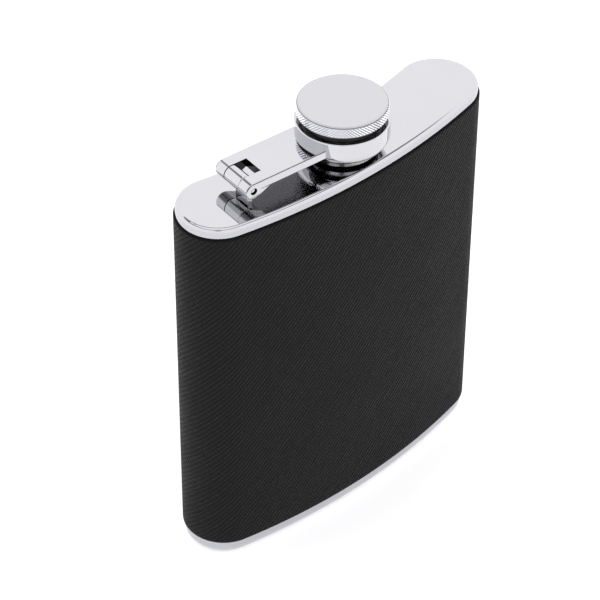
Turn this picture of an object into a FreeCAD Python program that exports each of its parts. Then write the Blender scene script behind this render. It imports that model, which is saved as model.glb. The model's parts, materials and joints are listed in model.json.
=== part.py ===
"""Hip flask with a captive screw cap, built as separate pieces, in millimetres.

The flask stands on its base with +Z up. X runs along its width, with the hinge towards -X.
Its broad front face bulges towards -Y and its back is hollow, so that it lies against a hip.
The origin is the centre of the footprint of its bounding box, on the surface it stands on.

Every horizontal section of the body is the same kidney: a strip of constant half width on each
side of a centre line that is an arc, with round ends. Shell, rims and wrap are all such strips.
"""
import FreeCAD, Part
import math
import os

from FreeCAD import Vector

# ---- body
WIDTH = 93.0               # end to end, across the wrap
THICKNESS = 21.4           # front to back through the middle, across the wrap
FRONT_RADIUS = 178.0       # bend of the front face, outside the wrap
WRAP_HEIGHT = 99.8         # upright length of the bare wrap
WRAP_PROUD = 0.45          # how far the wrap stands outside the steel rims
WRAP_SEAM = 0.15           # gap between the wrap's two ends, at the middle of the back
WRAP_EDGE_ROUND = 0.25     # softened outer edge of the wrap
RIM_CLEARANCE = 0.08       # between the wrap's edges and the rims
SHELL_WALL = 0.5           # tube of the body
SHEET = 0.6                # pressed sheet of the top and base plates

TOP_RIM_HEIGHT = 2.7       # bright band above the wrap
TOP_EDGE_ROUND = 1.0
BASE_RIM_HEIGHT = 4.5      # bright band below the wrap
BASE_EDGE_ROUND = 2.6
BASE_FOOT_WIDTH = 2.2      # flat ring that the flask stands on
BASE_RECESS = 0.5          # the middle of the base is pressed up by this much

# ---- neck
NECK_BORE_RADIUS = 4.9
NECK_WALL = 1.0
NECK_RISE = 7.2            # above the top plate
NECK_FLANGE_MARGIN = 0.95  # between the flange's edge and the shell's inner face
NECK_FLANGE_SHEET = 0.8
THREAD_PITCH = 2.0
THREAD_TURNS = 2.0
THREAD_DEPTH = 0.55
THREAD_START = 1.9         # first turn's height above the top plate
THREAD_CREST_WIDTH = 0.5
THREAD_ROOT_WIDTH = 1.2
THREAD_SINK = 0.15         # how deep a ridge's foot lies in its wall
THREAD_CLEARANCE = 0.45    # radial room that lets the cap swing off the neck without turning

# ---- hinge
HINGE_SPACING = 30.5       # hinge axis to cap axis, along X
HINGE_HEIGHT = 4.95        # axis above the top plate
KNUCKLE_RADIUS = 2.15
KNUCKLE_EDGE_ROUND = 0.25  # outer edges of the knuckles and both ends of the barrel
PIN_RADIUS = 0.8
PIN_RUNNING_CLEARANCE = 0.05
PIN_RECESS = 0.4           # the pin's ends lie inside the knuckles
PIN_BEVEL = 0.15
BRACKET_SHEET = 1.2
BRACKET_BARREL_LENGTH = 5.5
BRACKET_WEB_WIDTH = 4.8
ARM_WIDTH = 12.4
ARM_SHEET = 2.3
ARM_SLOT_GAP = 2.25        # open part of the slot, beyond the bracket's barrel
ARM_SIDE_CLEARANCE = 0.1   # between knuckles and barrel, each side
ARM_EDGE_ROUND = 0.25
ARM_GUSSET_LEAN = -50      # degrees; where the fillet under the arm leaves the knuckle

# ---- cap
SLEEVE_WALL = 1.25         # outside the liner's seat
FLANGE_REACH = 1.0         # lower flange of the threaded sleeve, beyond the sleeve
FLANGE_SHEET = 1.8
COLLAR_WALL = 1.75         # outside the flange's recess
COLLAR_HEIGHT = 6.9
COLLAR_LIFT = 2.4          # where the collar's lower round would end, above the top plate
COLLAR_LOWER_ROUND = 3.0
COLLAR_UPPER_ROUND = 0.3
COLLAR_WEB_HEIGHT = 3.6    # part of the collar that the cap traps
SWIVEL_CLEARANCE = 0.1     # all running gaps between cap and collar
SLEEVE_MOUTH_LIFT = 0.9    # lower end of the sleeve above the top plate
HEAD_GROOVE = 1.6          # waist between collar and knurled head
HUB_REACH = 0.9            # waist beyond the sleeve
HEAD_INSET = 0.69          # root of the knurling inside the collar's side
HEAD_HEIGHT = 3.05
HEAD_BEVEL = 0.3
WASHER_SHEET = 0.5
WASHER_INSET = 0.2         # washer edge inside the hub's edge
LINER_SHEET = 1.0
LINER_GAP = 0.02           # between the liner and the neck's mouth

# ---- worked out from the sizes above
HALF = THICKNESS / 2
BEND = FRONT_RADIUS - HALF                                   # radius of the centre line
END_ANGLE = math.asin((WIDTH / 2 - HALF) / BEND)
END_SETBACK = BEND * (1 - math.cos(END_ANGLE))
RIM_HALF = HALF - WRAP_PROUD
SHELL_HALF = RIM_HALF - SHEET
CAVITY_HALF = SHELL_HALF - SHELL_WALL
NECK_FLANGE_RADIUS = CAVITY_HALF - NECK_FLANGE_MARGIN
WRAP_TOP = BASE_RIM_HEIGHT + WRAP_HEIGHT
PLATE_Z = WRAP_TOP + TOP_RIM_HEIGHT                          # upper face of the top plate
NECK_RADIUS = NECK_BORE_RADIUS + NECK_WALL
CREST_RADIUS = NECK_RADIUS + THREAD_DEPTH
SLEEVE_BORE_RADIUS = CREST_RADIUS + THREAD_CLEARANCE
SLEEVE_SEAT_RADIUS = SLEEVE_BORE_RADIUS + THREAD_DEPTH
SLEEVE_RADIUS = SLEEVE_SEAT_RADIUS + SLEEVE_WALL
FLANGE_RADIUS = SLEEVE_RADIUS + FLANGE_REACH
COLLAR_RADIUS = FLANGE_RADIUS + SWIVEL_CLEARANCE + COLLAR_WALL
HUB_RADIUS = SLEEVE_RADIUS + HUB_REACH
HEAD_RADIUS = COLLAR_RADIUS - HEAD_INSET
FRONT_REACH = max(HALF, COLLAR_RADIUS)
CENTRE_Y = (FRONT_REACH - END_SETBACK - HALF) / 2            # centre line at the middle, x = 0
NECK_MOUTH_Z = PLATE_Z + NECK_RISE
LINER_Z = NECK_MOUTH_Z + LINER_GAP
COLLAR_Z = PLATE_Z + COLLAR_LIFT
COLLAR_TOP_Z = COLLAR_Z + COLLAR_HEIGHT
COLLAR_WEB_Z = COLLAR_TOP_Z - COLLAR_WEB_HEIGHT
HUB_Z = COLLAR_TOP_Z + WASHER_SHEET + SWIVEL_CLEARANCE
HEAD_Z = COLLAR_TOP_Z + HEAD_GROOVE
HINGE_Z = PLATE_Z + HINGE_HEIGHT
ARM_SLOT_REACH = KNUCKLE_RADIUS + ARM_SLOT_GAP               # beyond the hinge axis
HINGE_SETBACK = BEND - math.sqrt(BEND ** 2 - HINGE_SPACING ** 2)
HINGE_AT = Vector(-HINGE_SPACING, CENTRE_Y + HINGE_SETBACK, HINGE_Z)
ARM_LENGTH = math.hypot(HINGE_SPACING, HINGE_SETBACK)
ARM_TURN = -math.degrees(math.atan2(HINGE_SETBACK, HINGE_SPACING))

UP = Vector(0, 0, 1)
ACROSS = Vector(0, 1, 0)


def bend_point(radius, angle, z):
    """Point at `angle` from the middle, on a circle about the centre of the body's bend."""
    return Vector(radius * math.sin(angle), CENTRE_Y + BEND - radius * math.cos(angle), z)


def kidney(half, low, high):
    """Solid strip of the kidney section, `half` wide on each side of the centre line."""
    outer, inner = BEND + half, BEND - half
    ends = []
    for side in (1, -1):
        tip = Vector(side * half * math.cos(END_ANGLE), half * math.sin(END_ANGLE), 0)
        ends.append(bend_point(BEND, side * END_ANGLE, low) + tip)
    right_front = bend_point(outer, END_ANGLE, low)
    right_back = bend_point(inner, END_ANGLE, low)
    left_front = bend_point(outer, -END_ANGLE, low)
    left_back = bend_point(inner, -END_ANGLE, low)
    arcs = [
        Part.Arc(left_front, bend_point(outer, 0, low), right_front),
        Part.Arc(right_front, ends[0], right_back),
        Part.Arc(right_back, bend_point(inner, 0, low), left_back),
        Part.Arc(left_back, ends[1], left_front),
    ]
    outline = Part.Wire([arc.toShape() for arc in arcs])
    return Part.Face(outline).extrude(UP * (high - low))


def edges_at(shape, z):
    """Edges of `shape` that lie wholly at the height `z`."""
    return [edge for edge in shape.Edges
            if abs(edge.BoundBox.ZMin - z) < 1e-4 and abs(edge.BoundBox.ZMax - z) < 1e-4]


def rounded_kidney(half, low, high, radius, z):
    """Kidney strip with its edge at the height `z` rounded."""
    body = kidney(half, low, high)
    return body.makeFillet(radius, edges_at(body, z))


def cylinder(radius, low, high):
    """Upright cylinder on the cap's axis."""
    return Part.makeCylinder(radius, high - low, Vector(0, CENTRE_Y, low), UP)


def ring(outer, inner, low, high):
    """Upright tube on the cap's axis."""
    return cylinder(outer, low, high).cut(cylinder(inner, low, high))


def thread_ridge(root, crest, low):
    """Helical ridge from the `root` radius out or in to the `crest` radius."""
    base = root + math.copysign(THREAD_SINK, root - crest)
    helix = Part.makeHelix(THREAD_PITCH, THREAD_PITCH * THREAD_TURNS, base)
    corners = [
        Vector(base, 0, -THREAD_ROOT_WIDTH / 2),
        Vector(crest, 0, -THREAD_CREST_WIDTH / 2),
        Vector(crest, 0, THREAD_CREST_WIDTH / 2),
        Vector(base, 0, THREAD_ROOT_WIDTH / 2),
    ]
    profile = Part.makePolygon(corners + corners[:1])
    ridge = Part.Wire(helix).makePipeShell([profile], True, True)
    ridge.translate(Vector(0, CENTRE_Y, low))
    return ridge


def body_shell():
    """Rolled and welded tube, from the base plate's bend up to the top plate's bend."""
    low, high = BASE_EDGE_ROUND, PLATE_Z - TOP_EDGE_ROUND
    return kidney(SHELL_HALF, low, high).cut(kidney(CAVITY_HALF, low, high))


def top_plate():
    """Pressed lid: a flat top with a rounded edge and a skirt that laps over the shell."""
    low, inside = WRAP_TOP, PLATE_Z - SHEET
    outer = rounded_kidney(RIM_HALF, low, PLATE_Z, TOP_EDGE_ROUND, PLATE_Z)
    inner = rounded_kidney(SHELL_HALF, low, inside, TOP_EDGE_ROUND - SHEET, inside)
    return outer.cut(inner).cut(cylinder(NECK_RADIUS, low, PLATE_Z))


def bottom_plate():
    """Pressed base: a deeply rounded edge, a flat ring to stand on and a recessed middle."""
    high = BASE_RIM_HEIGHT
    foot_half = RIM_HALF - BASE_EDGE_ROUND - BASE_FOOT_WIDTH
    outer = rounded_kidney(RIM_HALF, 0, high, BASE_EDGE_ROUND, 0)
    inner = rounded_kidney(SHELL_HALF, SHEET, high, BASE_EDGE_ROUND - SHEET, SHEET)
    panel = kidney(foot_half + SHEET, SHEET, BASE_RECESS + SHEET)
    return outer.cut(inner).fuse(panel).cut(kidney(foot_half, 0, BASE_RECESS)).removeSplitter()


def leather_wrap():
    """One sheet glued round the shell, its ends meeting at the middle of the back."""
    low, high = BASE_RIM_HEIGHT + RIM_CLEARANCE, WRAP_TOP - RIM_CLEARANCE
    outer = kidney(HALF, low, high)
    outer = outer.makeFillet(WRAP_EDGE_ROUND, edges_at(outer, low) + edges_at(outer, high))
    seam = Part.makeBox(WRAP_SEAM, THICKNESS, high - low, Vector(-WRAP_SEAM / 2, CENTRE_Y, low))
    return outer.cut(kidney(SHELL_HALF, low, high)).cut(seam)


def neck():
    """Turned spout with an outside thread, and a flange welded under the top plate."""
    under = PLATE_Z - SHEET
    tube = cylinder(NECK_RADIUS, under, NECK_MOUTH_Z)
    flange = cylinder(NECK_FLANGE_RADIUS, under - NECK_FLANGE_SHEET, under)
    ridge = thread_ridge(NECK_RADIUS, CREST_RADIUS, PLATE_Z + THREAD_START)
    bore = cylinder(NECK_BORE_RADIUS, under - NECK_FLANGE_SHEET, NECK_MOUTH_Z)
    return tube.fuse(flange).fuse(ridge).cut(bore)


def placed_on_hinge(shape):
    """Moves a shape from hinge axes, X towards the cap and Y along the pin, to the flask."""
    shape.rotate(Vector(0, 0, 0), UP, ARM_TURN)
    shape.translate(HINGE_AT)
    return shape


def along_pin(radius, length):
    """Cylinder on the hinge axis, centred on the arm's middle."""
    return Part.makeCylinder(radius, length, Vector(0, -length / 2, 0), ACROSS)


def rounded_knuckle(length):
    """Knuckle-sized cylinder on the hinge axis with both its edges rounded."""
    knuckle = along_pin(KNUCKLE_RADIUS, length)
    rims = [edge for edge in knuckle.Edges if len(edge.Vertexes) == 1]
    return knuckle.makeFillet(KNUCKLE_EDGE_ROUND, rims)


def hinge_bracket():
    """Strip that stands on the top plate and curls over the pin as the middle barrel."""
    web = Part.makeBox(BRACKET_SHEET, BRACKET_WEB_WIDTH, HINGE_HEIGHT,
                       Vector(KNUCKLE_RADIUS - BRACKET_SHEET, -BRACKET_WEB_WIDTH / 2, -HINGE_HEIGHT))
    barrel = rounded_knuckle(BRACKET_BARREL_LENGTH)
    bore = along_pin(PIN_RADIUS + PIN_RUNNING_CLEARANCE, BRACKET_BARREL_LENGTH)
    return placed_on_hinge(barrel.fuse(web).cut(bore).removeSplitter())


def hinge_pin():
    """Plain pin, pressed in the arm's two knuckles and running in the bracket's barrel."""
    pin = along_pin(PIN_RADIUS, ARM_WIDTH - 2 * PIN_RECESS)
    rims = [edge for edge in pin.Edges if len(edge.Vertexes) == 1]
    return placed_on_hinge(pin.makeChamfer(PIN_BEVEL, rims))


def cap_arm():
    """Flat arm with two knuckles at one end, and a coped end that meets the collar."""
    top, under = KNUCKLE_RADIUS, KNUCKLE_RADIUS - ARM_SHEET
    bar = Part.makeBox(ARM_LENGTH, ARM_WIDTH, ARM_SHEET, Vector(0, -ARM_WIDTH / 2, under))
    bar = bar.makeFillet(ARM_EDGE_ROUND, [
        edge for edge in bar.Edges if edge.BoundBox.XLength > ARM_WIDTH])
    lean = math.radians(ARM_GUSSET_LEAN)
    gusset = Part.makePolygon([
        Vector(0, -ARM_WIDTH / 2, 0),
        Vector(top * math.cos(lean), -ARM_WIDTH / 2, top * math.sin(lean)),
        Vector(top + ARM_SHEET, -ARM_WIDTH / 2, under),
        Vector(0, -ARM_WIDTH / 2, 0),
    ])
    gusset = Part.Face(gusset).extrude(ACROSS * ARM_WIDTH)
    slot_width = BRACKET_BARREL_LENGTH + 2 * ARM_SIDE_CLEARANCE
    slot = Part.makeBox(2 * ARM_SLOT_REACH, slot_width, 2 * ARM_SLOT_REACH,
                        Vector(-ARM_SLOT_REACH, -slot_width / 2, -ARM_SLOT_REACH))
    cope = Part.makeCylinder(COLLAR_RADIUS, 4 * ARM_SHEET,
                             Vector(ARM_LENGTH, 0, under - ARM_SHEET), UP)
    arm = rounded_knuckle(ARM_WIDTH).fuse(bar).fuse(gusset)
    arm = arm.cut(slot).cut(cope).cut(along_pin(PIN_RADIUS, ARM_WIDTH)).removeSplitter()
    solids = sorted(arm.Solids, key=lambda solid: solid.Volume)
    return placed_on_hinge(solids[-1])


def collar_ring():
    """Smooth ring brazed to the arm; its upper part is trapped between sleeve and head."""
    outer = cylinder(COLLAR_RADIUS, COLLAR_Z, COLLAR_TOP_Z)
    outer = outer.makeFillet(COLLAR_LOWER_ROUND, edges_at(outer, COLLAR_Z))
    outer = outer.makeFillet(COLLAR_UPPER_ROUND, edges_at(outer, COLLAR_TOP_Z))
    bore = cylinder(SLEEVE_RADIUS + SWIVEL_CLEARANCE, COLLAR_Z, COLLAR_TOP_Z)
    recess = cylinder(FLANGE_RADIUS + SWIVEL_CLEARANCE, COLLAR_Z, COLLAR_WEB_Z)
    return outer.cut(bore).cut(recess)


def threaded_sleeve():
    """Inner bush of the cap: threaded bore, seat for the liner and a flange under the collar."""
    low = PLATE_Z + SLEEVE_MOUTH_LIFT
    tube = cylinder(SLEEVE_RADIUS, low, HUB_Z)
    flange_top = COLLAR_WEB_Z - SWIVEL_CLEARANCE
    flange = cylinder(FLANGE_RADIUS, flange_top - FLANGE_SHEET, flange_top)
    bore = cylinder(SLEEVE_BORE_RADIUS, low, HUB_Z)
    seat = cylinder(SLEEVE_SEAT_RADIUS, LINER_Z, HUB_Z)
    groove = thread_ridge(SLEEVE_BORE_RADIUS, SLEEVE_SEAT_RADIUS, PLATE_Z + THREAD_START)
    return tube.fuse(flange).cut(bore).cut(seat).cut(groove)


def cap_liner():
    """Soft disc that the neck's mouth presses against."""
    return cylinder(SLEEVE_SEAT_RADIUS, LINER_Z, LINER_Z + LINER_SHEET)


def swivel_washer():
    """Plastic washer on which the cap turns, on top of the collar."""
    low = COLLAR_TOP_Z + SWIVEL_CLEARANCE / 2
    return ring(HUB_RADIUS - WASHER_INSET, SLEEVE_RADIUS, low, low + WASHER_SHEET)


def cap_head():
    """Round grip with a waist and a spigot that is pressed into the sleeve."""
    high = HEAD_Z + HEAD_HEIGHT
    grip = cylinder(HEAD_RADIUS, HEAD_Z, high)
    grip = grip.makeChamfer(HEAD_BEVEL, edges_at(grip, high))
    hub = cylinder(HUB_RADIUS, HUB_Z, HEAD_Z)
    spigot = cylinder(SLEEVE_SEAT_RADIUS, LINER_Z + LINER_SHEET, HUB_Z)
    return grip.fuse(hub).fuse(spigot).removeSplitter()


PIECES = (body_shell, top_plate, bottom_plate, leather_wrap, neck, hinge_bracket, hinge_pin,
          cap_arm, collar_ring, threaded_sleeve, cap_liner, swivel_washer, cap_head)

os.makedirs("parts", exist_ok=True)
for make in PIECES:
    piece = make()
    assert piece.isValid() and len(piece.Solids) == 1, make.__name__
    piece.Solids[0].exportStep("parts/" + make.__name__ + ".step")
    print(make.__name__, round(piece.Volume, 1))
print("hinge at", HINGE_AT, "arm turn", round(ARM_TURN, 3), "arm length", round(ARM_LENGTH, 3))
print("cap axis y", round(CENTRE_Y, 4), "plate z", PLATE_Z, "top z", HEAD_Z + HEAD_HEIGHT)
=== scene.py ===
"""A curved hip flask in a black cross-hatched wrap, with a captive knurled cap, round its CAD frame.

Lengths are in metres. The flask stands on z = 0 with its bulging front towards -Y and the hinge towards -X.
"""

import json
import math

import bpy
import numpy as np
from mathutils import Matrix, Vector


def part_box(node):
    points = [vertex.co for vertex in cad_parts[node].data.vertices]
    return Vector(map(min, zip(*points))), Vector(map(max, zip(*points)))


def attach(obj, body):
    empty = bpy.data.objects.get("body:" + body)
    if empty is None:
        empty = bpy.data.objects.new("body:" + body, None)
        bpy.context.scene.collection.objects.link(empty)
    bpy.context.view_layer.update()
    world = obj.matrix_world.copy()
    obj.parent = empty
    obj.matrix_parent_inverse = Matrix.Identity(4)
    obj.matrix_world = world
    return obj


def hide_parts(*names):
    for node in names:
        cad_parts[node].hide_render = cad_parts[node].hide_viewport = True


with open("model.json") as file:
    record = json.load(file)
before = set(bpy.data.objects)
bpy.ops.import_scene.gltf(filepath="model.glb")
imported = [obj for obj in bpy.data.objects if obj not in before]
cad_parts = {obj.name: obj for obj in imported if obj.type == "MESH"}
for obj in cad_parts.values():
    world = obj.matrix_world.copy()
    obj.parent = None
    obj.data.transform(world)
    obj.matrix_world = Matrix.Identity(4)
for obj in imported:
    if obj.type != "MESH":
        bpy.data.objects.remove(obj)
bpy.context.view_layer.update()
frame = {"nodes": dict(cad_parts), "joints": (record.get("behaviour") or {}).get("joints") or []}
NODES = frame["nodes"]
JOINTS = {joint["name"]: joint for joint in frame["joints"]}

MM = 0.001
# ---- the body's section: a strip of constant half width about a bent centre line, with round ends
HALF_THICKNESS = 10.7 * MM      # across the wrap
BEND_RADIUS = 167.3 * MM        # of the centre line
WRAP_SHEET = 1.05 * MM          # leatherette with its backing
WRAP_INSET = 0.01 * MM          # keeps the made wrap inside the CAD one
SEAM_GAP = 0.15 * MM            # between the wrap's two ends, at the middle of the back
WRAP_EDGE = 0.25 * MM           # radius of its rounded outer edges
GLUE_HALF = 1.5 * MM            # half width of the adhesive strip behind the seam
BODY_LOW, BODY_HIGH = (Vector(corner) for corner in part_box("leather_wrap"))
CENTRE_Y = BODY_LOW.y + HALF_THICKNESS
END_ANGLE = math.asin((BODY_HIGH.x - HALF_THICKNESS) / BEND_RADIUS)

# ---- the hinge and the arm
HINGE_AT = Vector(JOINTS["arm_swing"]["pos_m"])
HINGE_AXIS = Vector(JOINTS["arm_swing"]["axis"]).normalized()
ARM_WAY = Vector((0, 0, 1)).cross(HINGE_AXIS)   # from the hinge towards the cap
PIN_RADIUS = 0.8 * MM
ARM_EDGE = 5.9 * MM             # from the arm's middle line to where its long edges round off
SLOT_HALF = 2.85 * MM           # half width of the arm's slot
SLOT_REACH = 4.4 * MM           # from the hinge axis to the slot's end
SKIN = 0.02 * MM                # a mask reaches this far past the faces that it is meant to catch

# ---- the cap
CAP_AXIS = Vector(JOINTS["cap_turn"]["pos_m"])
HEAD_HIGH = Vector(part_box("cap_head")[1])
HEAD_RADIUS = HEAD_HIGH.x
COLLAR_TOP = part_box("collar_ring")[1].z
HEAD_SKIRT = 1.6 * MM           # open waist between the collar and the head
HEAD_BEVEL = 0.3 * MM
KNURL_DEPTH = 0.28 * MM
KNURL_COUNT = 80                # diamonds round the head
KNURL_ROWS = 3.5                # and from its foot to its top
KNURL_STEPS = 10                # grid steps to a diamond, each way
KNURL_FLAT = 1.8                # how much steeper than a full pyramid a diamond's sides are
KNURL_TUCK = 0.35 * MM          # the band's hidden inner wall, inside the head
KNURL_PROUD = 0.01 * MM         # the grooves' bottoms lie this far outside the head
KNURL_FADE = 12                 # the diamonds run out over the first and last 1 / 12 of the height
BAND_FOOT = 0.06 * MM           # bare strip of the head below the band
BAND_OVERLAP = 0.03 * MM        # how far the band runs on over the bevel


# ======================================================================= shapes

def make_piece(name, grid, material, body, closed_along=False, uv=None, values=None):
    """Object from a grid of points (along, round, xyz) whose second way always closes on itself.

    Along the first way it closes too, or its two ends are filled with flat faces. Faces point outwards:
    the sum of dot(a, cross(b, c)) / 6 over the triangles is the volume, and a negative one turns them round.
    """
    along, around = grid.shape[:2]
    index = np.arange(along * around).reshape(along, around)
    last = along if closed_along else along - 1
    a, b = index[:last], np.roll(index, -1, axis=0)[:last]
    quads = np.stack([a, b, np.roll(b, -1, axis=1), np.roll(a, -1, axis=1)], axis=-1).reshape(-1, 4)
    points = grid.reshape(-1, 3)
    p, q, r, s = (points[quads[:, k]] for k in range(4))
    volume = (np.einsum("ij,ij->i", p, np.cross(q, r)) + np.einsum("ij,ij->i", p, np.cross(r, s))).sum()
    ends = [] if closed_along else [index[0][::-1], index[-1]]
    if volume < 0:
        quads = quads[:, ::-1]
        ends = [end[::-1] for end in ends]
    faces = quads.tolist() + [end.tolist() for end in ends]
    mesh = bpy.data.meshes.new(name)
    mesh.from_pydata(points.tolist(), [], faces)
    mesh.polygons.foreach_set("use_smooth", np.ones(len(faces), bool))
    corner = np.zeros(len(mesh.loops), np.int32)
    mesh.loops.foreach_get("vertex_index", corner)
    if uv is not None:
        layer = mesh.uv_layers.new(name="sheet")
        layer.uv.foreach_set("vector", uv.reshape(-1, 2)[corner].astype(np.float32).ravel())
    for key, value in (values or {}).items():
        attribute = mesh.attributes.new(key, "FLOAT", "POINT")
        attribute.data.foreach_set("value", value.astype(np.float32).ravel())
    mesh.materials.append(material)
    mesh.update()
    piece = bpy.data.objects.new(name, mesh)
    bpy.context.scene.collection.objects.link(piece)
    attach(piece, body)
    return piece


def kidney_walk(gap):
    """Once round the body from one side of the back seam to the other: spine points and outward directions.

    On the arcs the spine is (R sin t, C + R - R cos t) and the direction (sin t, -cos t), reversed on the
    back; round an end the spine stays put and the direction turns by half a circle.
    """
    start = gap / 2 / BEND_RADIUS
    back = np.linspace(start, END_ANGLE, 60)
    front = np.linspace(END_ANGLE, -END_ANGLE, 140)[1:-1]
    turn = np.linspace(np.pi / 2, -np.pi / 2, 56)[1:-1]

    def spine(t):
        return np.stack([BEND_RADIUS * np.sin(t), CENTRE_Y + BEND_RADIUS * (1 - np.cos(t))], axis=-1)

    def facing(t):
        return np.stack([np.sin(t), -np.cos(t)], axis=-1)

    right, left = turn + END_ANGLE, turn + np.pi - END_ANGLE
    spines = [spine(back), np.repeat(spine(back[-1:]), len(turn), 0), spine(front),
              np.repeat(spine(-back[-1:]), len(turn), 0), spine(-back[::-1])]
    ways = [-facing(back), np.stack([np.cos(right), np.sin(right)], axis=-1), facing(front),
            np.stack([np.cos(left), np.sin(left)], axis=-1), -facing(-back[::-1])]
    return np.concatenate(spines), np.concatenate(ways)


def wrap_profile():
    """Section of the sheet as (distance from the spine, height), a closed loop with rounded outer corners."""
    outer = HALF_THICKNESS - WRAP_INSET
    inner = HALF_THICKNESS - WRAP_SHEET
    low, high = BODY_LOW.z, BODY_HIGH.z
    bend = np.linspace(0, np.pi / 2, 7)
    top = np.stack([outer - WRAP_EDGE * (1 - np.cos(bend)), high - WRAP_EDGE * (1 - np.sin(bend))], axis=-1)
    foot = np.stack([outer - WRAP_EDGE * (1 - np.sin(bend)), low + WRAP_EDGE * (1 - np.cos(bend))], axis=-1)
    face = np.linspace(low + WRAP_EDGE, high - WRAP_EDGE, 26)[1:-1]
    side = np.stack([np.full(len(face), outer), face], axis=-1)
    return np.concatenate([foot, side, top, [[inner, high], [inner, low]]])


def make_wrap(material):
    """The sheet glued round the shell: each profile point is carried along spine + distance * direction."""
    spine, way = kidney_walk(SEAM_GAP)
    profile = wrap_profile()
    flat = spine[:, None] + way[:, None] * profile[None, :, :1]
    height = np.broadcast_to(profile[None, :, 1:], flat.shape[:2] + (1,))
    edge_line = spine + way * HALF_THICKNESS
    steps = np.linalg.norm(np.diff(edge_line, axis=0), axis=1)
    run = np.concatenate([[0.0], np.cumsum(steps)])
    run = run[-1] / 2 - run
    uv = np.stack([np.broadcast_to(run[:, None], flat.shape[:2]), height[..., 0]], axis=-1) / MM
    piece = make_piece("leatherette_wrap", np.concatenate([flat, height], axis=-1), material, "flask", uv=uv)
    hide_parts("leather_wrap")
    return piece


def make_knurl(material):
    """Band of four-sided points round the head.

    With u and v counting diamonds along the two crossing spirals, u, v = turns * count +- rows * height, the
    radius is root + depth * (1 - the larger of the distances of u and v from their nearest whole number * 2)
    * flat, cut off at the full depth, so that narrow grooves part flat-topped diamonds. It fades to the root
    over the band's top and bottom.
    """
    low = COLLAR_TOP + HEAD_SKIRT + BAND_FOOT
    high = HEAD_HIGH.z - HEAD_BEVEL + BAND_OVERLAP
    rise = np.linspace(0, 1, int(KNURL_ROWS * KNURL_STEPS) + 1)
    turns = np.arange(KNURL_COUNT * KNURL_STEPS) / (KNURL_COUNT * KNURL_STEPS)
    count = turns[:, None] * KNURL_COUNT
    climb = rise[None, :] * KNURL_ROWS
    off_u = np.abs(count + climb - np.round(count + climb)) * 2
    off_v = np.abs(count - climb - np.round(count - climb)) * 2
    tooth = 1 - np.maximum(off_u, off_v)
    fade = np.clip(np.minimum(rise, 1 - rise) * KNURL_FADE, 0, 1)[None, :]
    tooth = np.clip(tooth * KNURL_FLAT, 0, 1) * fade
    radius = HEAD_RADIUS + KNURL_PROUD + KNURL_DEPTH * tooth
    inside = np.full((len(turns), 2), HEAD_RADIUS - KNURL_TUCK)
    radius = np.concatenate([radius, inside], axis=1)
    height = np.broadcast_to(np.concatenate([low + rise * (high - low), [high, low]]), radius.shape)
    angle = turns[:, None] * 2 * np.pi
    x, y = CAP_AXIS.x + radius * np.cos(angle), CAP_AXIS.y + radius * np.sin(angle)
    grid = np.stack([x, y, height], axis=-1)
    crest = np.concatenate([tooth, np.zeros((len(turns), 2))], axis=1)
    piece = make_piece("knurled_band", grid, material, "cap", closed_along=True, values={"crest": crest})
    piece.data.polygons.foreach_set("use_smooth", np.zeros(len(piece.data.polygons), bool))
    return piece


# ======================================================================= finishes

class Finish:
    """A material under construction: short names for the few kinds of node that the finishes use."""

    def __init__(self, name):
        self.material = bpy.data.materials.new(name)
        self.material.use_nodes = True
        self.tree = self.material.node_tree
        self.shader = self.tree.nodes["Principled BSDF"]
        coordinates = self.add("ShaderNodeTexCoord").outputs
        self.object, self.normal = coordinates["Object"], coordinates["Normal"]

    def add(self, kind, inputs=(), **settings):
        made = self.tree.nodes.new(kind)
        for key, value in settings.items():
            setattr(made, key, value)
        for key, value in dict(inputs).items():
            self.feed(made.inputs[key], value)
        return made

    def feed(self, socket, value):
        if isinstance(value, bpy.types.NodeSocket):
            self.tree.links.new(value, socket)
        else:
            socket.default_value = value

    def set(self, **values):
        for key, value in values.items():
            self.feed(self.shader.inputs[key.replace("_", " ")], value)

    def so_far(self, name):
        """What already feeds one of the shader's sockets, to build on."""
        return self.shader.inputs[name].links[0].from_socket

    def math(self, operation, a, b=0.0, clamp=False):
        return self.add("ShaderNodeMath", {0: a, 1: b}, operation=operation, use_clamp=clamp).outputs[0]

    def vector(self, operation, a, b=(0, 0, 0)):
        made = self.add("ShaderNodeVectorMath", {0: a, 1: b}, operation=operation)
        return made.outputs["Value" if operation in ("LENGTH", "DOT_PRODUCT") else "Vector"]

    def noise(self, vector, scale, detail=3.0, roughness=0.55):
        return self.add("ShaderNodeTexNoise", {"Vector": vector, "Scale": scale, "Detail": detail,
                                               "Roughness": roughness}).outputs["Fac"]

    def mapping(self, vector, move=(0, 0, 0), turn=(0, 0, 0), scale=(1, 1, 1)):
        return self.add("ShaderNodeMapping", {"Vector": vector, "Location": move, "Rotation": turn,
                                              "Scale": scale}).outputs[0]

    def span(self, value, low, high, out_low=0.0, out_high=1.0, smooth=False):
        kind = "SMOOTHSTEP" if smooth else "LINEAR"
        return self.add("ShaderNodeMapRange", {"Value": value, "From Min": low, "From Max": high,
                                               "To Min": out_low, "To Max": out_high},
                        interpolation_type=kind).outputs[0]

    def blend(self, amount, first, second):
        made = self.add("ShaderNodeMix", data_type="RGBA")
        for socket, value in zip((made.inputs[0], made.inputs[6], made.inputs[7]), (amount, first, second)):
            self.feed(socket, value)
        return made.outputs[2]

    def part(self, vector, axis):
        return self.add("ShaderNodeSeparateXYZ", {0: vector}).outputs[axis]

    def bump(self, height, strength, distance, normal=None):
        inputs = {"Height": height, "Strength": strength, "Distance": distance}
        if normal is not None:
            inputs["Normal"] = normal
        return self.add("ShaderNodeBump", inputs).outputs[0]


def grey(value, blue=0.0):
    return (value, value, value * (1 + blue), 1.0)


POLISH = 0.575                  # share of the light that polished steel gives back
SCRATCH_DEPTH = 0.02 * MM


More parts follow.
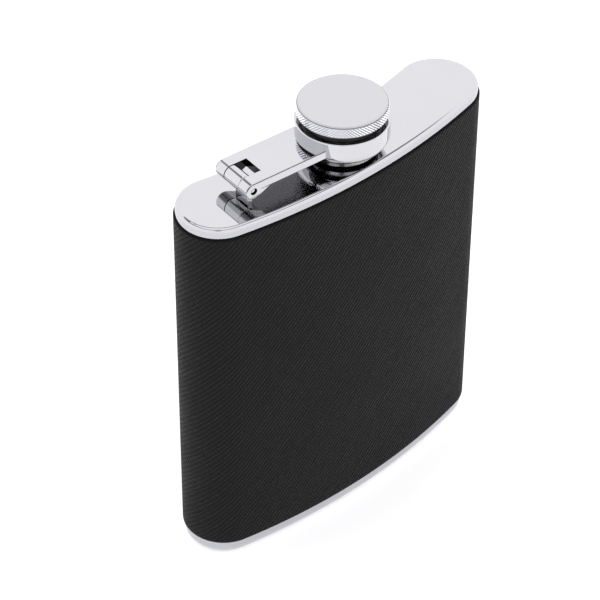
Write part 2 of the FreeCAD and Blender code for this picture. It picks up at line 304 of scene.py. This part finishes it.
def steel(name, shine, low_rough, high_rough, scratch=0.05, blue=0.035):
    """Stainless steel: cloudy handling marks change the gloss, and fine hairlines run in two directions."""
    made = Finish(name)
    cloud = made.noise(made.object, 75.0, 4.0)
    speck = made.noise(made.object, 900.0, 2.0)
    hair_a = made.noise(made.mapping(made.object, turn=(0, 0, 0.5), scale=(1, 22, 3)), 260.0, 2.0)
    hair_b = made.noise(made.mapping(made.object, turn=(0, 0.4, -0.9), scale=(20, 1, 4)), 240.0, 2.0)
    hair = made.math("MAXIMUM", hair_a, hair_b)
    rough = made.span(cloud, 0.35, 0.7, low_rough, high_rough)
    rough = made.math("ADD", rough, made.span(speck, 0.62, 0.75, 0.0, low_rough * 0.5))
    made.set(Metallic=1.0, Roughness=rough,
             Base_Color=made.blend(cloud, grey(shine * 0.97, blue), grey(shine * 1.03, blue)),
             Normal=made.bump(hair, scratch, SCRATCH_DEPTH))
    return made


def polished_steel():
    return steel("mirror polished steel", POLISH, 0.03, 0.065)


def plate_steel():
    """Mirror polish on the flats; the upright skirts are painted darker and a little bluer, painted shade
    standing in for their dimmer reflection.
    """
    made = polished_steel()
    # upright faces painted darker and bluer: painted shade
    side = made.span(made.math("ABSOLUTE", made.part(made.normal, 2)), 0.0, 0.5, 1.0, 0.0)
    made.set(Base_Color=made.blend(side, made.so_far("Base Color"), grey(0.50, 0.06)))
    return made


def cap_steel():
    """Polished steel: a satin top turned in very fine rings, a dull bevel, and painted shade on the waist
    below the grip.
    """
    made = steel("cap steel", POLISH, 0.035, 0.07)
    centred = made.mapping(made.object, move=(-CAP_AXIS.x, -CAP_AXIS.y, 0), scale=(1, 1, 0))
    radius = made.vector("LENGTH", centred)
    rings = made.noise(made.add("ShaderNodeCombineXYZ", {0: radius}).outputs[0], 5200.0, 3.0)
    top = made.span(made.part(made.object, 2), HEAD_HIGH.z - 0.08 * MM, HEAD_HIGH.z - 0.03 * MM)
    facing = made.part(made.normal, 2)
    bevel = made.math("MULTIPLY", made.math("GREATER_THAN", facing, 0.3),
                      made.math("LESS_THAN", facing, 0.95))
    satin = made.math("ADD", made.math("MULTIPLY", top, 0.2), made.so_far("Roughness"))
    satin = made.math("ADD", made.math("MULTIPLY", bevel, 0.45), satin, clamp=True)
    turned = made.bump(made.math("MULTIPLY", rings, top), 0.10, SCRATCH_DEPTH)
    grip_foot = COLLAR_TOP + HEAD_SKIRT
    # the head below the grip is painted near-black: painted shade in the narrow waist above the collar
    waist = made.span(made.part(made.object, 2), grip_foot - 0.04 * MM, grip_foot + 0.04 * MM, 1.0, 0.0)
    made.set(Roughness=satin, Normal=turned,
             Base_Color=made.blend(waist, made.so_far("Base Color"), grey(0.05)))
    return made


def knurl_steel():
    """Pressed diamond points, rougher than the polished parts: painted highlight on the crests, painted shade
    down in the grooves.
    """
    made = steel("knurled steel", 0.66, 0.12, 0.2)
    crest = made.add("ShaderNodeAttribute", attribute_name="crest").outputs["Fac"]
    # crests painted near-white and grooves near-black: painted highlight and painted shade
    made.set(Base_Color=made.blend(made.span(crest, 0.08, 0.5), grey(0.02, 0.03), grey(0.92, 0.04)))
    return made


def hinge_places(made):
    """Distance from the hinge axis, then the ways along that axis and along the arm, from the hinge."""
    place = made.vector("SUBTRACT", made.object, HINGE_AT)
    off = made.vector("LENGTH", made.vector("CROSS_PRODUCT", place, HINGE_AXIS))
    return off, made.vector("DOT_PRODUCT", place, HINGE_AXIS), made.vector("DOT_PRODUCT", place, ARM_WAY)


def pin_steel():
    """Drawn pin whose ends are painted near-black round their bevel: painted shade."""
    made = steel("pin steel", 0.62, 0.12, 0.22)
    # outside this radius the pin is painted near-black: painted shade round the end's bevel
    rim = made.span(hinge_places(made)[0], 0.46 * MM, 0.56 * MM)
    made.set(Base_Color=made.blend(rim, made.so_far("Base Color"), grey(0.02)))
    return made


def arm_steel():
    """Polished above and at the sides, rougher and painted darker underneath (painted shade), with a painted
    dark line along each rounded long edge (painted reflection).

    The walls of the slot and of the pin's hole are painted near-black: painted shade.
    """
    made = steel("arm steel", POLISH, 0.03, 0.065)
    facing = made.part(made.normal, 2)
    # rougher underneath, and painted darker there: painted shade
    under = made.span(facing, -0.75, -0.55, 1.0, 0.0)
    off, across, along = hinge_places(made)
    across = made.math("ABSOLUTE", across)
    # slot and pin-hole walls are painted near-black below: painted shade
    slot = made.math("MULTIPLY", made.math("LESS_THAN", across, SLOT_HALF + SKIN),
                     made.math("LESS_THAN", along, SLOT_REACH + SKIN))
    hole = made.math("LESS_THAN", off, PIN_RADIUS + 0.12 * MM)
    # dark line on the rounded long edges: painted reflection of the darker room above
    tilted = made.math("MULTIPLY", made.math("GREATER_THAN", facing, 0.22),
                       made.math("LESS_THAN", facing, 0.80))
    painted_edge_line = made.math("MULTIPLY", tilted, made.math("GREATER_THAN", across, ARM_EDGE))
    tone = made.blend(under, made.so_far("Base Color"), grey(0.20, 0.03))
    tone = made.blend(painted_edge_line, tone, grey(0.10))
    made.set(Base_Color=made.blend(made.math("MAXIMUM", slot, hole), tone, grey(0.03)),
             Roughness=made.math("ADD", made.so_far("Roughness"), made.math("MULTIPLY", under, 0.16)))
    return made


def turned_steel():
    """Unpolished lathe finish of the neck and of the sleeve inside the cap."""
    return steel("turned steel", 0.30, 0.12, 0.24, scratch=0.2)


def shell_steel():
    """Plain drawn tube, with black adhesive that shows in the gap between the wrap's two ends.

    The strip is where x is near 0, so the front has one too, which the wrap hides.
    """
    made = steel("plain drawn steel", 0.55, 0.22, 0.36, scratch=0.25)
    glued = made.math("LESS_THAN", made.math("ABSOLUTE", made.part(made.object, 0)), GLUE_HALF)
    made.set(Base_Color=made.blend(glued, made.so_far("Base Color"), grey(0.012)),
             Metallic=made.math("SUBTRACT", 1.0, glued),
             Roughness=made.math("ADD", made.so_far("Roughness"), made.math("MULTIPLY", glued, 0.4)))
    return made


GRAIN_PITCH = 1.06              # mm between the ridges
GRAIN_LEAN = 46.0               # degrees from the horizontal, one set each way
GRAIN_DEPTH = 0.60 * MM         # of the shading only; the sheet's surface is smooth
EDGE_DARK_REACH = 0.55 * MM          # the near-black edges start to fade at WRAP_EDGE and end this far in


def grain_ridges(made, sheet, lean, seed):
    """One set of ridges, from 0 to 1 on a sheet in mm: a sine across the lean, pushed about by noise."""
    moved = made.mapping(sheet, move=(seed, seed * 0.7, 0), turn=(0, 0, math.radians(lean)))
    across = made.part(moved, 1)
    stretched = made.mapping(moved, scale=(0.10, 0.55, 1))
    drift = made.span(made.noise(stretched, 1.0, 2.0), 0.0, 1.0, -0.35, 0.35)
    quick = made.span(made.noise(moved, 1.6, 1.0), 0.0, 1.0, -0.10, 0.10)
    pushed = made.math("ADD", made.math("ADD", across, drift), quick)
    phase = made.math("MULTIPLY", pushed, 2 * math.pi / GRAIN_PITCH)
    wave = made.span(made.math("SINE", phase), -1.0, 1.0)
    depth = made.span(made.noise(made.mapping(moved, scale=(0.35, 1.1, 1)), 1.0, 2.0), 0.25, 0.7, 0.55, 1.0)
    return made.math("MULTIPLY", made.math("POWER", wave, 0.8), depth)


def leatherette():
    """Black cross-hatched leatherette: strong ridges that weaker ones cross, painted shade in the grooves and
    painted highlight on the ridges, dust, and near-black edges.
    """
    made = Finish("black cross-hatched leatherette")
    sheet = made.add("ShaderNodeUVMap", uv_map="sheet").outputs[0]
    rising = grain_ridges(made, sheet, -GRAIN_LEAN, 3.1)
    falling = grain_ridges(made, sheet, GRAIN_LEAN, 11.7)
    weave = made.math("MULTIPLY", rising, made.span(falling, 0.0, 1.0, 0.5, 1.0))
    pores = made.noise(sheet, 5.0, 2.0)
    height = made.math("ADD", weave, made.math("MULTIPLY", pores, 0.25))
    z = made.part(made.object, 2)
    foot = made.span(z, BODY_LOW.z + WRAP_EDGE, BODY_LOW.z + EDGE_DARK_REACH)
    crown = made.span(z, BODY_HIGH.z - EDGE_DARK_REACH, BODY_HIGH.z - WRAP_EDGE, 1.0, 0.0)
    face = made.math("MULTIPLY", foot, crown)
    patch = made.noise(made.object, 45.0, 3.0)
    # ridges lighter, grooves darker: painted highlight on the ridges, painted shade in the grooves
    tone = made.blend(weave, grey(0.0070), grey(0.0190))
    tone = made.blend(made.span(patch, 0.3, 0.7, 0.0, 0.2), tone, grey(0.0120))
    lint = made.add("ShaderNodeTexVoronoi", {"Vector": sheet, "Scale": 0.16, "Randomness": 1.0})
    dust = made.span(lint.outputs["Distance"], 0.012, 0.02, 1.0, 0.0)
    tone = made.blend(made.math("MULTIPLY", dust, face), tone, grey(0.16))
    # near-black and glossier along the top and bottom edges, where the sheet meets the plates
    tone = made.blend(face, grey(0.004), tone)
    rough = made.span(weave, 0.0, 1.0, 0.62, 0.42)
    rough = made.math("ADD", rough, made.span(patch, 0.3, 0.7, -0.04, 0.05))
    made.set(Base_Color=tone, Roughness=made.add("ShaderNodeMix", {0: face, 2: 0.3, 3: rough}).outputs[0],
             Specular_IOR_Level=0.07,
             Normal=made.bump(made.math("MULTIPLY", height, face), 1.0, GRAIN_DEPTH))
    return made


def sealing_rubber():
    """Off-white soft disc, a little mottled."""
    made = Finish("sealing disc rubber")
    mottle = made.noise(made.object, 420.0, 4.0)
    made.set(Base_Color=made.blend(mottle, (0.66, 0.64, 0.58, 1), (0.80, 0.78, 0.73, 1)),
             Roughness=made.span(mottle, 0.3, 0.7, 0.5, 0.68), Normal=made.bump(mottle, 0.25, 0.05 * MM))
    return made


def bearing_plastic():
    """Black plastic washer, moulded matt with a rubbed sheen."""
    made = Finish("washer plastic")
    grain = made.noise(made.object, 2600.0, 2.0)
    rub = made.noise(made.object, 300.0, 2.0)
    made.set(Base_Color=made.blend(rub, grey(0.010), grey(0.022)),
             Roughness=made.span(rub, 0.3, 0.7, 0.35, 0.55), Normal=made.bump(grain, 0.2, 0.03 * MM))
    return made


def floor_finish():
    """Near-white and matt, with a little glow of its own, so that the part casts only a faint shadow."""
    made = Finish("pale studio floor")
    tooth = made.noise(made.object, 30.0, 4.0)
    made.set(Base_Color=made.blend(tooth, grey(0.90), grey(0.93)), Roughness=0.9, Specular_IOR_Level=0.1,
             Emission_Color=grey(1.0), Emission_Strength=0.34)
    return made


POLISHED = polished_steel().material
PLATES = plate_steel().material
TURNED = turned_steel().material
FINISHES = {
    "body_shell": shell_steel().material,
    "top_plate": PLATES,
    "bottom_plate": PLATES,
    "neck": TURNED,
    "hinge_bracket": POLISHED,
    "hinge_pin": pin_steel().material,
    "cap_arm": arm_steel().material,
    "collar_ring": POLISHED,
    "threaded_sleeve": TURNED,
    "cap_head": cap_steel().material,
    "cap_liner": sealing_rubber().material,
    "swivel_washer": bearing_plastic().material,
}
for node_name, finish in FINISHES.items():
    for slot in NODES[node_name].material_slots:
        slot.material = finish

make_wrap(leatherette().material)
make_knurl(knurl_steel().material)


# ======================================================================= studio

ROOM_LIGHT = 1.34
ROOM_PATCHES = (
    # azimuth and height in degrees, radius of the even part and of its soft edge, share of the light left
    (0.0, 90.0, 40.0, 43.0, 0.22),      # darkens the ceiling
    (0.0, 90.0, 29.0, 32.0, 4.3),       # and lights its middle again, which leaves a dark ring
    (-42.7, 40.7, 5.5, 9.0, 0.02),      # small dark opening in front
)
FLOOR_REACH = 4.0                       # from the middle to each side

VIEW_AZIMUTH, VIEW_HEIGHT, VIEW_ROLL = (math.radians(angle) for angle in (-42.733, 40.674, 0.366))
VIEW_AIM = Vector((0.0, -0.001526, 0.04835))
VIEW_DISTANCE = 0.6835
VIEW_ACROSS, VIEW_ABOVE = 0.009724, 0.008023    # the camera stands this far to the left and up
VIEW_LENS, VIEW_FRAME = 162.03, 36.0            # millimetres


def make_floor():
    """Flat square, large enough to fill any view from above."""
    corners = [(x * FLOOR_REACH, y * FLOOR_REACH, 0) for x, y in ((-1, -1), (1, -1), (1, 1), (-1, 1))]
    mesh = bpy.data.meshes.new("studio_floor")
    mesh.from_pydata(corners, [], [(0, 1, 2, 3)])
    mesh.materials.append(floor_finish().material)
    floor = bpy.data.objects.new("studio_floor", mesh)
    bpy.context.scene.collection.objects.link(floor)


def room_patch(tree, way, azimuth, height, even, edge, left):
    """Share of the room's light: `left` within `even` degrees of a direction, passing to 1 at `edge`."""
    azimuth, height = math.radians(azimuth), math.radians(height)
    middle = (math.sin(azimuth) * math.cos(height), -math.cos(azimuth) * math.cos(height), math.sin(height))
    near = tree.nodes.new("ShaderNodeVectorMath")
    near.operation = "DOT_PRODUCT"
    tree.links.new(way, near.inputs[0])
    near.inputs[1].default_value = middle
    share = tree.nodes.new("ShaderNodeMapRange")
    share.interpolation_type = "SMOOTHSTEP"
    tree.links.new(near.outputs["Value"], share.inputs["Value"])
    share.inputs["From Min"].default_value = math.cos(math.radians(edge))
    share.inputs["From Max"].default_value = math.cos(math.radians(even))
    share.inputs["To Min"].default_value = 1.0
    share.inputs["To Max"].default_value = left
    return share.outputs[0]


def make_surroundings():
    """White room light all round, times the share that each patch leaves of it."""
    world = bpy.data.worlds.new("studio")
    bpy.context.scene.world = world
    world.use_nodes = True
    tree = world.node_tree
    back = tree.nodes["Background"]
    way = tree.nodes.new("ShaderNodeTexCoord").outputs["Generated"]
    light = ROOM_LIGHT
    for patch in ROOM_PATCHES:
        product = tree.nodes.new("ShaderNodeMath")
        product.operation = "MULTIPLY"
        tree.links.new(room_patch(tree, way, *patch), product.inputs[0])
        if isinstance(light, bpy.types.NodeSocket):
            tree.links.new(light, product.inputs[1])
        else:
            product.inputs[1].default_value = light
        light = product.outputs[0]
    tree.links.new(light, back.inputs["Strength"])
    back.inputs["Color"].default_value = (0.985, 0.985, 1.0, 1)


def make_camera():
    """Long lens, looking down at the flask from its front left."""
    azimuth, tilt, roll = VIEW_AZIMUTH, VIEW_HEIGHT, VIEW_ROLL
    back = Vector((math.sin(azimuth) * math.cos(tilt), -math.cos(azimuth) * math.cos(tilt), math.sin(tilt)))
    level = Vector((math.cos(azimuth), math.sin(azimuth), 0.0))
    up = back.cross(level)
    right = level * math.cos(roll) + up * math.sin(roll)
    top = up * math.cos(roll) - level * math.sin(roll)
    data = bpy.data.cameras.new("studio_camera")
    data.sensor_width, data.lens = VIEW_FRAME, VIEW_LENS
    data.clip_start, data.clip_end = 0.05, 20.0
    camera = bpy.data.objects.new("studio_camera", data)
    turn = Matrix((right, top, back)).transposed().to_4x4()
    stand = VIEW_AIM + back * VIEW_DISTANCE - right * VIEW_ACROSS + top * VIEW_ABOVE
    camera.matrix_world = Matrix.Translation(stand) @ turn
    bpy.context.scene.collection.objects.link(camera)
    bpy.context.scene.camera = camera


make_floor()
make_surroundings()
make_camera()
bpy.context.scene.view_settings.view_transform = "Standard"

bpy.context.view_layer.update()
